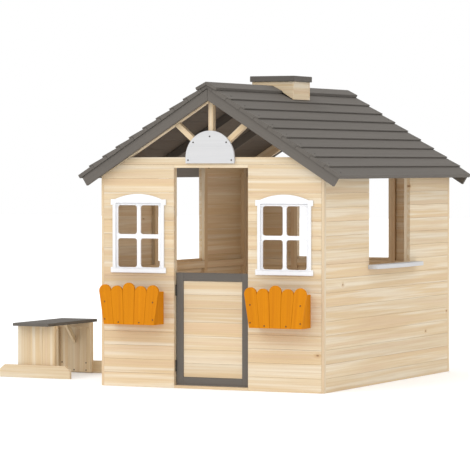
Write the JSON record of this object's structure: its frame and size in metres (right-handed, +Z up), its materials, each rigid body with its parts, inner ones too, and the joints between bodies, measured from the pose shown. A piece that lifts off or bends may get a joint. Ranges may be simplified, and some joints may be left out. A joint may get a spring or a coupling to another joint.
{
  "type": "playhouse",
  "caption": "Wooden playhouse with a pitched roof, hinged half door, open windows, planters, a serving shelf, a chimney and a separate bench.",
  "frame": {"origin": "on the ground, middle of the underside of the doorway's threshold", "axes": "+Z up, +X along the width to the right seen from the front, -Y out of the front"},
  "size_m": [2.0277, 1.7576, 1.518],
  "materials": {
    "natural_wood": "matte clear stain",
    "grey_painted_wood": "matte grey stain",
    "white_painted_wood": "matte white paint",
    "orange_painted_wood": "satin orange paint",
    "white_plastic": "satin moulded plastic",
    "dark_steel": "black coated steel"
  },
  "bodies": {
    "house": {"threshold": "natural_wood", "front_boards_left": "natural_wood", "front_boards_right": "natural_wood", "window_boards_left": "natural_wood", "window_boards_right": "natural_wood", "front_top_board": "natural_wood", "door_header": "natural_wood", "front_frame": "natural_wood", "left_boards": "natural_wood", "right_boards": "natural_wood", "back_boards": "natural_wood", "left_frame": "natural_wood", "right_frame": "natural_wood", "back_frame": "natural_wood", "corner_trims": "natural_wood", "front_rafters": "natural_wood", "back_rafters": "natural_wood", "gable_struts": "natural_wood", "gable_plate": "white_painted_wood", "plate_screws": "dark_steel", "front_barge_boards": "grey_painted_wood", "back_barge_boards": "grey_painted_wood", "roof_boards_left": "grey_painted_wood", "roof_boards_right": "grey_painted_wood", "roof_battens": "grey_painted_wood", "roof_screws": "dark_steel", "ridge_cap_front": "grey_painted_wood", "ridge_cap_back": "grey_painted_wood", "chimney_walls": "natural_wood", "chimney_cap": "grey_painted_wood", "window_surround_left": "white_plastic", "window_surround_right": "white_plastic", "window_grille_left": "white_plastic", "window_grille_right": "white_plastic", "planter_box_left": "orange_painted_wood", "planter_box_right": "orange_painted_wood", "planter_pickets_left": "orange_painted_wood", "planter_pickets_right": "orange_painted_wood", "planter_screws": "dark_steel", "serving_shelf": "white_painted_wood", "jamb_hinge_leaves": "dark_steel", "hinge_pins": "dark_steel"},
    "door": {"door_frame": "grey_painted_wood", "door_boards": "natural_wood", "door_hinge_leaves": "dark_steel"},
    "bench": {"bench_seat": "grey_painted_wood", "bench_legs": "natural_wood", "bench_feet": "natural_wood", "bench_cleats": "natural_wood", "bench_braces": "natural_wood", "bench_screws": "dark_steel"}
  },
  "joints": [
    {"name": "door_hinge", "type": "hinge", "parent": "house", "child": "door", "pos_m": [-0.19338, -0.0005, 0], "axis": [0, 0, -1], "range_deg": [0, 95]},
    {"name": "bench_slide", "type": "slide", "parent": "house", "child": "bench", "axis": [-1, 0, 0], "range_m": [-0.3, 0.4]}
  ]
}
